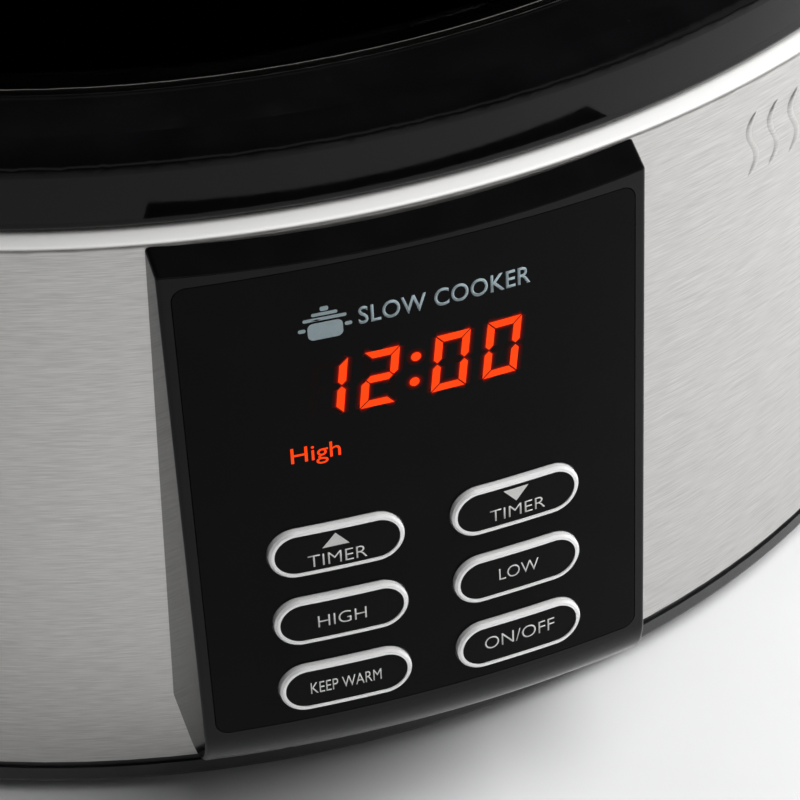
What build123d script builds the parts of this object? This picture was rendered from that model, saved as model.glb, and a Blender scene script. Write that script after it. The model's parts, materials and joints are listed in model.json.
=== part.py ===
"""An oval digital slow cooker, in millimetres.

+Z is up, z = 0 is the table, and the control pod faces -Y.  The heating base is a brushed-steel
oval with a metal well inside.  A stoneware crock hangs in the well by its flange, a glass lid lies
on the crock, and six keys slide in the pod's sloping face.
"""
from build123d import *
from math import cos, radians, sin, sqrt
import os

os.makedirs("parts", exist_ok=True)

# ---- driving dimensions ---------------------------------------------------------------------
half_width = 196.5          # steel shell, half its length from left to right
half_depth = 143.5          # steel shell, half its depth from front to back
oval_y = 11.1               # the oval's centre is behind the origin, as the pod sticks out in front
fit_gap = 0.3               # clearance between parts that move or lift apart
seam = 0.2                  # clearance between neighbouring parts that stay together

foot_radius = 13.0
foot_x = 118.0
foot_y = 78.0
plate_z = 5.5               # underside of the bottom pan
plate_sheet = 0.8
skirt_bottom = 4.5
skirt_wall = 4.0
skirt_step_z = 10.6         # the skirt steps in here, below the steel
skirt_top = 20.0

shell_bottom = 13.0
shell_top = 180.0
shell_sheet = 0.8
shell_bend = 1.0
shoulder_width = 14.0       # turned-in top of the shell

well_floor = 24.0           # underside of the well
well_sheet = 0.8
well_inset_low = 34.0       # from the steel shell to the well, at its floor
well_inset_high = 26.0      # and at its top
well_flange_inset = 8.0
well_floor_radius = 9.0

heater_low = 42.0
heater_high = 102.0
heater_thickness = 3.0
blanket_low = 38.0
blanket_high = 110.0
blanket_thickness = 6.0
strap_low = 66.0
strap_high = 78.0

crock_bottom = 30.0
crock_floor = 40.0
crock_gap = 4.7             # air between the crock and the well
crock_wall = 8.5
flange_under = 181.1
flange_inset = 4.2
flange_top = 200.6
flange_round = 5.2
ridge_width = 1.6
ridge_height = 1.4
ledge_z = 193.2             # the ledge that the lid lies on
ledge_inset = 29.2
ear_reach = 24.0
ear_half_width = 40.0
ear_low = 187.0
ear_high = 196.0

band_inset = 29.8
band_lip = 3.4
band_height = 4.3
band_sheet = 0.6
glass_thickness = 3.0
dome_rise = 36.0
knob_radius = 23.0
knob_height = 25.0
vent_x = 62.0

face_tilt = 9.3             # degrees; the face looks up towards the cook
face_radius = 328.0         # the face is gently rounded from left to right
face_reach = 7.0            # how far its top edge stands in front of the steel
face_top = 174.7
plate_width = 102.0
plate_length = 122.0
plate_thickness = 2.0
plate_corner = 3.0
pod_half_width = 53.5
pod_top = 178.0
pod_top_slope = 13.0
pod_bottom = 35.5
pod_roll = 15.0             # radius that the face rolls under with
pod_corner = 1.2
pod_edge = 1.0
pod_wall = 2.5
ledge_depth = 4.5           # the faceplate's ledge, measured from the face
ledge_half_width = 46.0
ledge_margin = 1.8

key_column = 20.8
key_rows = (73.1, 92.5, 111.9)
key_length = 30.6
key_height = 12.7
key_proud = 1.5
key_rim = 1.15
key_bevel = 0.5
key_travel = 0.8
switch_depth = 8.0          # top of the switches, measured from the face
board_depth = 12.5
board_thickness = 1.6
board_half_width = 48.0
board_up = 9.0
board_down = 118.0
display_down = 31.2
display_x = -0.8

handle_z = 124.0
handle_height = 22.0
handle_reach = 34.0
handle_half_length = 54.0
handle_bar = 13.0
handle_centre_in = 9.0
handle_screw_y = 42.0

gland_z = 31.0
gland_bore = 3.6
gland_neck = 6.0
gland_flange = 9.0
gland_out = 5.6


# ---- shared shapes --------------------------------------------------------------------------
def level(z):
    """A horizontal plane centred on the oval."""
    return Plane((0, oval_y, z))


def oval_block(low, high, inset, inset_high=None, top_radius=0, bottom_radius=0):
    """A solid oval from low to high, its outline inset from the shell's."""
    with BuildPart() as block:
        with BuildSketch(level(low)):
            Ellipse(half_width - inset, half_depth - inset)
        if inset_high is None:
            extrude(amount=high - low)
        else:
            with BuildSketch(level(high)):
                Ellipse(half_width - inset_high, half_depth - inset_high)
            loft()
        if top_radius:
            fillet(block.faces().sort_by(Axis.Z)[-1].edges(), top_radius)
        if bottom_radius:
            fillet(block.faces().sort_by(Axis.Z)[0].edges(), bottom_radius)
    return block.part


def save(piece, name):
    """Label a finished piece and write it."""
    piece.part.label = name
    export_step(piece.part, f"parts/{name}.step")


def wall_y(x):
    """Y of the steel shell's front at x."""
    return oval_y - half_depth * sqrt(1 - (x / half_width) ** 2)


def well_inset(z):
    """How far the well's outside is from the shell's outline at height z."""
    rise = (z - well_floor) / (shell_top - well_floor)
    return well_inset_low + (well_inset_high - well_inset_low) * rise


def sleeve(low, high, inner, outer):
    """A band round the well, from inner to outer millimetres off its outside."""
    solid = oval_block(low, high, well_inset(low) - outer, well_inset(high) - outer)
    hollow = oval_block(low, high, well_inset(low) - inner, well_inset(high) - inner)
    with BuildPart() as band:
        add(solid)
        add(hollow, mode=Mode.SUBTRACT)
    return band.part


# ---- base: feet, pan, skirt and steel shell ---------------------------------------------------
with BuildPart() as rubber_feet:
    with BuildSketch(level(0)):
        with GridLocations(2 * foot_x, 2 * foot_y, 2, 2):
            Circle(foot_radius)
    extrude(amount=plate_z)
    fillet(rubber_feet.edges().group_by(Axis.Z)[0], 1.5)
save(rubber_feet, "rubber_feet")

base_screw_angles = (38, 142, 218, 322)
base_screw_inset = 9.0
base_screw_spots = [
    ((half_width - base_screw_inset) * cos(radians(a)), (half_depth - base_screw_inset) * sin(radians(a)))
    for a in base_screw_angles
]
screw_radius = 1.7
screw_hole = 1.85
screw_head = 3.5
screw_head_height = 1.8

tie_radius = 2.5
sensor_y = 45.0

with BuildPart() as base_plate:
    with BuildSketch(level(plate_z)):
        Ellipse(half_width - skirt_wall - seam, half_depth - skirt_wall - seam)
        with Locations(*base_screw_spots):
            Circle(screw_hole + 0.3, mode=Mode.SUBTRACT)
        Circle(tie_radius + 0.2, mode=Mode.SUBTRACT)
        with GridLocations(9, 34, 9, 2):
            SlotOverall(26, 3.2, rotation=90, mode=Mode.SUBTRACT)
    extrude(amount=plate_sheet)
save(base_plate, "base_plate")

skirt_lower = oval_block(skirt_bottom, skirt_step_z, 0, bottom_radius=2.0)
skirt_upper = oval_block(skirt_step_z, shell_bottom, 0.6)
skirt_spigot = oval_block(shell_bottom, skirt_top, shell_sheet + seam)
skirt_hollow = oval_block(skirt_bottom, skirt_top, skirt_wall)

with BuildPart() as base_skirt:
    add(skirt_lower)
    add(skirt_upper)
    add(skirt_spigot)
    add(skirt_hollow, mode=Mode.SUBTRACT)
    with BuildSketch(level(plate_z + plate_sheet)):
        with Locations(*base_screw_spots):
            Circle(5.5)
    extrude(amount=skirt_top - plate_z - plate_sheet)
    with BuildSketch(level(plate_z)):
        with Locations(*base_screw_spots):
            Circle(screw_hole)
    extrude(amount=11, mode=Mode.SUBTRACT)
save(base_skirt, "base_skirt")

with BuildPart() as base_screws:
    with BuildSketch(level(plate_z - screw_head_height)):
        with Locations(*base_screw_spots):
            Circle(screw_head)
    extrude(amount=screw_head_height)
    with BuildSketch(level(plate_z)):
        with Locations(*base_screw_spots):
            Circle(screw_radius)
    extrude(amount=10)
    with BuildSketch(level(plate_z - screw_head_height)):
        with Locations(*base_screw_spots):
            Rectangle(4.2, 0.9)
            Rectangle(0.9, 4.2)
    extrude(amount=1.1, mode=Mode.SUBTRACT)
save(base_screws, "base_screws")

shell_outside = oval_block(shell_bottom, shell_top, 0, top_radius=shell_bend)
shell_inside = oval_block(
    shell_bottom, shell_top - shell_sheet, shell_sheet, top_radius=shell_bend - shell_sheet
)
shell_mouth = oval_block(shell_top - 2 * shell_sheet, shell_top + 1, shoulder_width)
cutout_low = 100.0
cutout_high = 172.0
cutout_half_width = 49.6
pod_screw_x = 34.0
pod_screw_z = 41.0

with BuildPart() as outer_wrap:
    add(shell_outside)
    add(shell_inside, mode=Mode.SUBTRACT)
    add(shell_mouth, mode=Mode.SUBTRACT)
    with BuildSketch(Plane.XZ.offset(80)):
        with Locations((0, (cutout_low + cutout_high) / 2)):
            RectangleRounded(2 * cutout_half_width, cutout_high - cutout_low, 3)
        with Locations((-pod_screw_x, pod_screw_z), (pod_screw_x, pod_screw_z)):
            Circle(screw_hole + 0.2)
    extrude(amount=80, mode=Mode.SUBTRACT)
    with BuildSketch(Plane.XZ.offset(-80)):
        with Locations((0, gland_z)):
            Circle(gland_neck + 0.1)
    extrude(amount=-100, mode=Mode.SUBTRACT)
    with BuildSketch(Plane.YZ.offset(-half_width - 1)):
        with Locations(
            (oval_y - handle_screw_y, handle_z), (oval_y + handle_screw_y, handle_z)
        ):
            Circle(screw_hole + 0.2)
    extrude(amount=2 * half_width + 2, mode=Mode.SUBTRACT)
save(outer_wrap, "outer_wrap")

# ---- heating well and what is wrapped round it --------------------------------------------------
well_outside = oval_block(
    well_floor, shell_top, well_inset_low, well_inset_high, bottom_radius=well_floor_radius
)
well_inside = oval_block(
    well_floor + well_sheet,
    shell_top + well_sheet,
    well_inset_low + well_sheet,
    well_inset_high + well_sheet,
    bottom_radius=well_floor_radius - well_sheet,
)
well_flange = oval_block(shell_top, shell_top + well_sheet, well_flange_inset)

with BuildPart() as heating_well:
    add(well_outside)
    add(well_flange)
    add(well_inside, mode=Mode.SUBTRACT)
save(heating_well, "heating_well")

with BuildPart() as heater_band:
    add(sleeve(heater_low, heater_high, seam, seam + heater_thickness))
save(heater_band, "heater_band")

blanket_inner = seam + heater_thickness + seam
blanket_outer = blanket_inner + blanket_thickness
with BuildPart() as insulation_blanket:
    add(sleeve(blanket_low, blanket_high, blanket_inner, blanket_outer))
save(insulation_blanket, "insulation_blanket")

strap_lug_y = oval_y + half_depth - well_inset(strap_low) + blanket_outer
with BuildPart() as heater_strap:
    add(sleeve(strap_low, strap_high, blanket_outer + seam, blanket_outer + seam + 1.0))
    with BuildSketch(Plane.XY.offset(strap_low)):
        with Locations((-4, strap_lug_y + 4.6), (4, strap_lug_y + 4.6)):
            Rectangle(1.2, 7.2)
    extrude(amount=strap_high - strap_low)
    with BuildSketch(Plane.YZ.offset(-8)):
        with Locations((strap_lug_y + 5.6, (strap_low + strap_high) / 2)):
            Circle(1.5)
    extrude(amount=16)
save(heater_strap, "heater_strap")

fuse_z = 118.0
fuse_radius = 3.0
fuse_y = oval_y + half_depth - well_inset(fuse_z) + fuse_radius + 0.6
with BuildPart() as thermal_fuse:
    with BuildSketch(Plane.YZ.offset(-12)):
        with Locations((fuse_y, fuse_z)):
            Circle(fuse_radius)
    extrude(amount=24)
    fillet(thermal_fuse.edges(), 0.8)
save(thermal_fuse, "thermal_fuse")

with BuildPart() as tie_bolt:
    with BuildSketch(level(1.2)):
        Circle(tie_radius)
    extrude(amount=well_floor - 1.2)
save(tie_bolt, "tie_bolt")

with BuildPart() as tie_nut:
    with BuildSketch(level(plate_z - 4)):
        RegularPolygon(4.6, 6)
        Circle(tie_radius + 0.05, mode=Mode.SUBTRACT)
    extrude(amount=4)
save(tie_nut, "tie_nut")

sensor_cup_bottom = 17.0
with BuildPart() as sensor_cup:
    with BuildSketch(Plane((0, oval_y + sensor_y, sensor_cup_bottom))):
        Circle(9)
    extrude(amount=well_floor - sensor_cup_bottom)
    fillet(sensor_cup.edges(), 1.2)
save(sensor_cup, "sensor_cup")

spring_bottom = plate_z + plate_sheet + 0.6
spring_height = sensor_cup_bottom - spring_bottom - 0.6
with BuildPart() as sensor_spring:
    with BuildLine(Plane((0, oval_y + sensor_y, spring_bottom))) as spring_path:
        Helix(pitch=spring_height / 4, height=spring_height, radius=5.5)
    with BuildSketch(Plane(spring_path.line @ 0, z_dir=spring_path.line % 0)):
        Circle(0.55)
    sweep(path=spring_path.line)
save(sensor_spring, "sensor_spring")

# ---- mains electronics under the well ---------------------------------------------------------
board_x = -70.0
board_y = -6.0
board_size = (84.0, 62.0)
board_z = 9.6
board_top = board_z + board_thickness

with BuildPart() as board_standoffs:
    with BuildSketch(Plane((board_x, board_y, plate_z + plate_sheet))):
        with GridLocations(board_size[0] - 8, board_size[1] - 8, 2, 2):
            Circle(2.5)
    extrude(amount=board_z - plate_z - plate_sheet)
save(board_standoffs, "board_standoffs")

with BuildPart() as power_board:
    with BuildSketch(Plane((board_x, board_y, board_z))):
        RectangleRounded(*board_size, 2)
    extrude(amount=board_thickness)
save(power_board, "power_board")

board_parts = {
    "relay": (-26, -14, 19, 15, 11.0),
    "transformer": (-2, 12, 24, 21, 11.5),
    "capacitor": (-28, 12, 18, 9, 10.5),
    "terminal_block": (30, 2, 9, 36, 9.5),
}
for part_name, (x, y, length, width, height) in board_parts.items():
    with BuildPart() as board_part:
        with BuildSketch(Plane((board_x + x, board_y + y, board_top))):
            Rectangle(length, width)
        extrude(amount=height)
        fillet(board_part.edges().filter_by(Axis.Z), 1.0)
    save(board_part, part_name)

wire_radius = 1.3
terminal_x = board_x + 30
terminal_face = board_y + 2 + 18
wire_z = board_top + 5
gland_inner_y = oval_y + half_depth - 8
with BuildPart() as wire_harness:
    for lane in (-3.0, 3.0):
        with BuildLine() as lead:
            FilletPolyline(
                (lane, gland_inner_y, gland_z),
                (lane, gland_inner_y - 14, gland_z),
                (lane, gland_inner_y - 34, wire_z),
                (lane, gland_inner_y - 62, wire_z),
                (terminal_x + lane, terminal_face + 22, wire_z),
                (terminal_x + lane, terminal_face, wire_z),
                radius=8,
            )
        with BuildSketch(Plane(lead.line @ 0, z_dir=lead.line % 0)):
            Circle(wire_radius)
        sweep(path=lead.line)
save(wire_harness, "wire_harness")

# ---- cord gland and side handles --------------------------------------------------------------
gland_wall_y = oval_y + half_depth
with BuildPart() as cord_gland:
    with BuildSketch(Plane.XZ.offset(-gland_wall_y + 7)):
        with Locations((0, gland_z)):
            Circle(gland_neck)
    extrude(amount=-7 - gland_out)
    with BuildSketch(Plane.XZ.offset(-gland_wall_y)):
        with Locations((0, gland_z)):
            Circle(gland_flange)
    extrude(amount=-3)
    with BuildSketch(Plane.XZ.offset(-gland_wall_y + 4.2)):
        with Locations((0, gland_z)):
            Circle(gland_flange)
    extrude(amount=-2.8)
    with BuildSketch(Plane.XZ.offset(-gland_wall_y + 8)):
        with Locations((0, gland_z)):
            Circle(gland_bore)
    extrude(amount=-20, mode=Mode.SUBTRACT)
save(cord_gland, "cord_gland")

handle_x = half_width - handle_centre_in
shell_solid = oval_block(shell_bottom, shell_top, 0)
for side_name, side in (("left_handle", -1), ("right_handle", 1)):
    with BuildPart() as handle:
        with BuildSketch(Plane((side * handle_x, oval_y, handle_z - handle_height / 2))):
            Ellipse(handle_reach + handle_centre_in, handle_half_length)
            Ellipse(
                handle_reach + handle_centre_in - handle_bar,
                handle_half_length - handle_bar - 4,
                mode=Mode.SUBTRACT,
            )
        extrude(amount=handle_height)
        fillet(handle.edges().filter_by(GeomType.ELLIPSE), 4.5)
        add(shell_solid, mode=Mode.SUBTRACT)
        with BuildSketch(Plane.YZ.offset(side * (half_width - 12))):
            with Locations(
                (oval_y - handle_screw_y, handle_z), (oval_y + handle_screw_y, handle_z)
            ):
                Circle(screw_radius + 0.05)
        extrude(amount=side * 12, mode=Mode.SUBTRACT)
        split(bisect_by=Plane.YZ.offset(side * 100), keep=Keep.TOP if side > 0 else Keep.BOTTOM)
    save(handle, side_name)

handle_head_x = half_width * sqrt(1 - (handle_screw_y / half_depth) ** 2) - 3.4
with BuildPart() as handle_screws:
    for side in (-1, 1):
        spots = [(oval_y - handle_screw_y, handle_z), (oval_y + handle_screw_y, handle_z)]
        with BuildSketch(Plane.YZ.offset(side * handle_head_x)):
            with Locations(*spots):
                Circle(screw_head)
        extrude(amount=-side * screw_head_height)
        with BuildSketch(Plane.YZ.offset(side * handle_head_x)):
            with Locations(*spots):
                Circle(screw_radius)
        extrude(amount=side * 11)
save(handle_screws, "handle_screws")

# ---- control pod ------------------------------------------------------------------------------
tilt = radians(face_tilt)
face_up = (0, sin(tilt), cos(tilt))
face_out = (0, -cos(tilt), sin(tilt))
face = Plane((0, oval_y - half_depth - face_reach, face_top), x_dir=(1, 0, 0), z_dir=face_out)
pod_depth = 46.0


def across(rise):
    """The plane across the face, rise above the faceplate's top; its y runs into the pod."""
    start = Vector(*face.origin) + Vector(*face_up) * rise
    return Plane(start, x_dir=(1, 0, 0), z_dir=face_up)


def sag(radius, x):
    """How far an arc of this radius has fallen back, x millimetres to the side of its middle."""
    return radius - sqrt(radius**2 - x**2)


def curved_slab(front, back, half, rise, drop):
    """A slab that follows the face's rounding, front to back millimetres behind it."""
    with BuildPart() as slab:
        with BuildSketch(across(rise)):
            with Locations((0, face_radius)):
                Circle(face_radius - front)
                Circle(face_radius - back, mode=Mode.SUBTRACT)
            with Locations((0, front - 6)):
                Rectangle(
                    2 * half, back - front + 24, align=(Align.CENTER, Align.MIN), mode=Mode.INTERSECT
                )
        extrude(amount=-rise - drop)
    return slab.part


def curved_key(x, down, length, height, front, back):
    """A stadium-shaped block in the face, following its rounding."""
    slab = curved_slab(front, back, 56, 0, plate_length)
    with BuildPart() as key:
        add(slab)
        with BuildSketch(face.offset(10)):
            with Locations((x, -down)):
                SlotOverall(length, height)
        extrude(amount=-40, mode=Mode.INTERSECT)
    return key.part


keys = {
    "timer_up": (-key_column, key_rows[0]),
    "timer_down": (key_column, key_rows[0]),
    "high": (-key_column, key_rows[1]),
    "low": (key_column, key_rows[1]),
    "keep_warm": (-key_column, key_rows[2]),
    "on_off": (key_column, key_rows[2]),
}
key_spots = [(x, -down) for x, down in keys.values()]

plate_slab = curved_slab(0, plate_thickness, 56, 5, plate_length + 5)
with BuildPart() as faceplate:
    add(plate_slab)
    with BuildSketch(face.offset(10)):
        with Locations((0, -plate_length / 2)):
            RectangleRounded(plate_width - 2 * seam, plate_length - 2 * seam, plate_corner)
        with Locations(*key_spots):
            SlotOverall(
                key_length + 2 * fit_gap, key_height + 2 * fit_gap, mode=Mode.SUBTRACT
            )
    extrude(amount=-40, mode=Mode.INTERSECT)
save(faceplate, "faceplate")

pod_block = curved_slab(0, pod_depth, pod_half_width, 40, 170)
pod_cavity = curved_slab(ledge_depth, pod_depth, pod_half_width - pod_wall, 40, 170)
plate_recess = curved_slab(-6, plate_thickness + 0.05, 56, 5, plate_length + 5)
pod_top_plane = Plane(
    (0, oval_y - half_depth, pod_top),
    x_dir=(1, 0, 0),
    z_dir=(0, -sin(radians(pod_top_slope)), cos(radians(pod_top_slope))),
)

with BuildPart() as recess:
    add(plate_recess)
    with BuildSketch(face.offset(10)):
        with Locations((0, -plate_length / 2)):
            RectangleRounded(plate_width, plate_length, plate_corner + seam)
    extrude(amount=-40, mode=Mode.INTERSECT)

with BuildPart() as cavity:
    add(pod_cavity)
    split(bisect_by=pod_top_plane.offset(-2.6), keep=Keep.BOTTOM)
    split(bisect_by=Plane.XY.offset(pod_bottom + 12), keep=Keep.TOP)

board_post_x = 45.5
board_post_radius = 3.0
board_post_downs = (14.0, 114.0)
board_posts = [(x, -down) for x in (-board_post_x, board_post_x) for down in board_post_downs]
hook_x = 30.0
hook_y = wall_y(hook_x)
hook_low = 168.0
hook_top = 176.0
pod_back = oval_block(shell_bottom, shell_top + 30, 0)
ledge_opening = curved_slab(0, pod_depth, ledge_half_width, -ledge_margin, plate_length - ledge_margin)

with BuildPart() as pod_frame:
    add(pod_block)
    split(bisect_by=pod_top_plane, keep=Keep.BOTTOM)
    split(bisect_by=Plane.XY.offset(pod_bottom), keep=Keep.TOP)
    fillet(pod_frame.faces().sort_by(Axis.Z)[0].edges().sort_by(Axis.Y)[0], pod_roll)
    fillet(pod_frame.edges().filter_by(GeomType.LINE).sort_by(Axis.Z)[-2:], pod_corner)
    fillet(pod_frame.edges().filter_by(GeomType.ELLIPSE).sort_by(Axis.Y)[0], pod_edge)
    add(cavity.part, mode=Mode.SUBTRACT)
    add(ledge_opening, mode=Mode.SUBTRACT)
    add(recess.part, mode=Mode.SUBTRACT)
    with BuildSketch(face.offset(-board_depth)):
        with Locations(*board_posts):
            Circle(board_post_radius)
    extrude(amount=board_depth - ledge_depth - sag(face_radius, board_post_x) + 0.5)
    add(pod_back, mode=Mode.SUBTRACT)
    with BuildSketch(Plane.XZ.offset(80)):
        with Locations((-pod_screw_x, pod_screw_z), (pod_screw_x, pod_screw_z)):
            Circle(screw_radius + 0.05)
    extrude(until=Until.LAST, mode=Mode.SUBTRACT)
    for x in (-hook_x, hook_x):
        with BuildSketch(Plane.YZ.offset(x - 6)):
            with BuildLine():
                Polyline(
                    (hook_y - 2.4, hook_top),
                    (hook_y - 2.4, hook_low),
                    (hook_y + 3.8, hook_low),
                    (hook_y + 3.8, hook_top),
                    (hook_y + 1.8, hook_top),
                    (hook_y + 1.8, hook_low + 2),
                    (hook_y - 0.8, hook_low + 2),
                    (hook_y - 0.8, hook_top),
                    close=True,
                )
            make_face()
        extrude(amount=12)
save(pod_frame, "pod_frame")

pod_screw_head_y = wall_y(pod_screw_x) + 2.6
with BuildPart() as pod_screws:
    with BuildSketch(Plane.XZ.offset(-pod_screw_head_y)):
        with Locations((-pod_screw_x, pod_screw_z), (pod_screw_x, pod_screw_z)):
            Circle(screw_head)
    extrude(amount=-screw_head_height)
    with BuildSketch(Plane.XZ.offset(-pod_screw_head_y)):
        with Locations((-pod_screw_x, pod_screw_z), (pod_screw_x, pod_screw_z)):
            Circle(screw_radius)
    extrude(amount=13)
save(pod_screws, "pod_screws")

with BuildPart() as control_board:
    with BuildSketch(face.offset(-board_depth - board_thickness)):
        with Locations((0, -(board_up + board_down) / 2)):
            RectangleRounded(2 * board_half_width, board_down - board_up, 2)
    extrude(amount=board_thickness)
save(control_board, "control_board")

with BuildPart() as display_module:
    with BuildSketch(face.offset(-board_depth)):
        with Locations((display_x, -display_down)):
            Rectangle(52, 19.5)
    extrude(amount=7.0)
save(display_module, "display_module")

with BuildPart() as key_switches:
    with BuildSketch(face.offset(-board_depth)):
        with Locations(*key_spots):
            Rectangle(6, 6)
    extrude(amount=board_depth - switch_depth - 1)
    with BuildSketch(face.offset(-switch_depth - 1)):
        with Locations(*key_spots):
            Circle(1.7)
    extrude(amount=1)
save(key_switches, "key_switches")

# The flat cable leaves the control board through the opening in the steel, hangs down between
# the shell and the blanket and turns in under the well.
ribbon_start = face.from_local_coords((0, -52, -board_depth - board_thickness - 0.1))
ribbon_drop_y = oval_y - half_depth + 8
ribbon_foot = 14.0
with BuildPart() as ribbon_cable:
    with BuildSketch(Plane.YZ.offset(-36)):
        with BuildLine():
            FilletPolyline(
                (ribbon_start.Y, ribbon_start.Z),
                (ribbon_drop_y, ribbon_start.Z - 1),
                (ribbon_drop_y, ribbon_foot),
                (board_y - board_size[1] / 2 - 2, ribbon_foot),
                radius=3,
            )
        trace(line_width=0.9)
    extrude(amount=14)
save(ribbon_cable, "ribbon_cable")

# ---- six keys: a bright rim and a black cap each, pressed straight in ---------------------------
for key_name, (x, down) in keys.items():
    body = curved_key(x, down, key_length, key_height, -key_proud, plate_thickness + fit_gap + 1)
    collar = curved_key(
        x, down, key_length + 2.4, key_height + 2.4, plate_thickness + fit_gap, plate_thickness + fit_gap + 1
    )
    pocket = curved_key(
        x, down, key_length - 2 * key_rim, key_height - 2 * key_rim, -key_proud - 1, 0.6
    )
    cap = curved_key(
        x, down, key_length - 2 * key_rim, key_height - 2 * key_rim, -key_proud + 0.35, 0.6
    )
    with BuildPart() as rim:
        add(body)
        chamfer(rim.faces().sort_by(Axis(face.origin, face_out))[-1].edges(), key_bevel)
        add(collar)
        add(pocket, mode=Mode.SUBTRACT)
        with BuildSketch(face.offset(-switch_depth + key_travel + seam)):
            with Locations((x, -down)):
                Circle(2.2)
        extrude(amount=switch_depth - key_travel - seam - plate_thickness - 0.8)
    save(rim, f"{key_name}_rim")
    with BuildPart() as key_cap:
        add(cap)
    save(key_cap, f"{key_name}_cap")

# ---- crock ------------------------------------------------------------------------------------
crock_inset_low = well_inset(crock_bottom) + well_sheet + crock_gap
crock_inset_high = well_inset(flange_under) + well_sheet + crock_gap
crock_outside = oval_block(
    crock_bottom, flange_under + 1, crock_inset_low, crock_inset_high, bottom_radius=10
)
crock_flange = oval_block(
    flange_under, flange_top, flange_inset, top_radius=flange_round, bottom_radius=1.2
)
crock_hollow = oval_block(
    crock_floor,
    ledge_z + 1,
    crock_inset_low + crock_wall,
    crock_inset_high + crock_wall,
    bottom_radius=16,
)
ridge_inset = flange_inset + flange_round + ridge_width
ridge_cut = oval_block(flange_top - ridge_height, flange_top + 1, ridge_inset)
slope_cut = oval_block(
    ledge_z + 3, flange_top - ridge_height, ledge_inset - 0.6, ridge_inset + 1
)
ledge_cut = oval_block(ledge_z, ledge_z + 4, ledge_inset)

with BuildPart() as ears:
    with BuildSketch(level(ear_low)):
        with Locations((-half_width + 14, 0), (half_width - 14, 0)):
            Ellipse(ear_reach, ear_half_width)
    extrude(amount=ear_high - ear_low)
    fillet(ears.edges(), 3)

with BuildPart() as crock:
    add(crock_outside)
    add(crock_flange)
    add(ears.part)
    add(ridge_cut, mode=Mode.SUBTRACT)
    add(slope_cut, mode=Mode.SUBTRACT)
    add(ledge_cut, mode=Mode.SUBTRACT)
    add(crock_hollow, mode=Mode.SUBTRACT)
save(crock, "crock")

# ---- lid --------------------------------------------------------------------------------------
band_bottom = ledge_z + fit_gap
band_top = band_bottom + band_height
glass_inset = band_inset + band_sheet + 0.6
glass_edge = band_bottom + band_sheet + 0.1
glass_x = half_width - glass_inset
glass_y = half_depth - glass_inset

band_outside = oval_block(band_bottom, band_top, band_inset, top_radius=0.8, bottom_radius=0.8)
band_mouth = oval_block(band_bottom - 1, band_top + 1, band_inset + band_lip)
band_groove = oval_block(
    glass_edge - 0.05, glass_edge + glass_thickness + 0.05, band_inset + band_sheet
)
with BuildPart() as lid_band:
    add(band_outside)
    add(band_mouth, mode=Mode.SUBTRACT)
    add(band_groove, mode=Mode.SUBTRACT)
save(lid_band, "lid_band")

dome_half = glass_x - band_lip - 2
cap_radius = (dome_half**2 + dome_rise**2) / (2 * dome_rise)

# The dome is turned as a round lid and then narrowed from front to back into an oval.
dome_middle = dome_rise - sag(cap_radius, dome_half / 2)
with BuildPart() as round_dome:
    with BuildSketch(Plane.XZ):
        with BuildLine():
            Line((0, dome_rise), (0, dome_rise + glass_thickness))
            ThreePointArc(
                (0, dome_rise + glass_thickness),
                (dome_half / 2, dome_middle + glass_thickness),
                (dome_half, glass_thickness),
            )
            Line((dome_half, glass_thickness), (glass_x, glass_thickness))
            Line((glass_x, glass_thickness), (glass_x, 0))
            Line((glass_x, 0), (dome_half, 0))
            ThreePointArc(
                (dome_half, 0), (dome_half / 2, dome_middle), (0, dome_rise)
            )
        make_face()
    revolve(axis=Axis.Z)
    scale(by=(1, glass_y / glass_x, 1))

dome_top = glass_edge + dome_rise + glass_thickness
with BuildPart() as lid_glass:
    add(round_dome.part.moved(Location((0, oval_y, glass_edge))))
    with BuildSketch(level(dome_top + 5)):
        Circle(3.2)
        with Locations((vent_x, 0)):
            Circle(4.0)
    extrude(amount=-30, mode=Mode.SUBTRACT)
save(lid_glass, "lid_glass")

with BuildPart() as knob_washer:
    with BuildSketch(level(dome_top + 0.1)):
        Circle(15)
        Circle(3.2, mode=Mode.SUBTRACT)
    extrude(amount=1.6)
    fillet(knob_washer.edges().group_by(Axis.Z)[-1].sort_by(SortBy.RADIUS)[-1], 0.8)
save(knob_washer, "knob_washer")

knob_base = dome_top + 1.8
knob_lip = 1.5
knob_crown = 3.0
crown_half = knob_radius - knob_lip
crown_radius = (crown_half**2 + knob_crown**2) / (2 * knob_crown)
crown_low = knob_height - knob_crown
with BuildPart() as lid_knob:
    with BuildSketch(Plane((0, oval_y, knob_base), x_dir=(1, 0, 0), z_dir=(0, -1, 0))):
        with BuildLine():
            Line((0, 0), (13, 0))
            Line((13, 0), (13, 2))
            ThreePointArc((13, 2), (11.2, 9), (15, 15))
            Line((15, 15), (crown_half, crown_low - 4))
            ThreePointArc((crown_half, crown_low - 4), (knob_radius, crown_low - 2), (crown_half, crown_low))
            ThreePointArc(
                (crown_half, crown_low),
                (crown_half / 2, knob_height - sag(crown_radius, crown_half / 2)),
                (0, knob_height),
            )
            Line((0, knob_height), (0, 0))
        make_face()
    revolve(axis=Axis((0, oval_y, 0), (0, 0, 1)))
    with BuildSketch(level(knob_base)):
        Circle(2.1)
    extrude(amount=14, mode=Mode.SUBTRACT)
save(lid_knob, "lid_knob")

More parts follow.
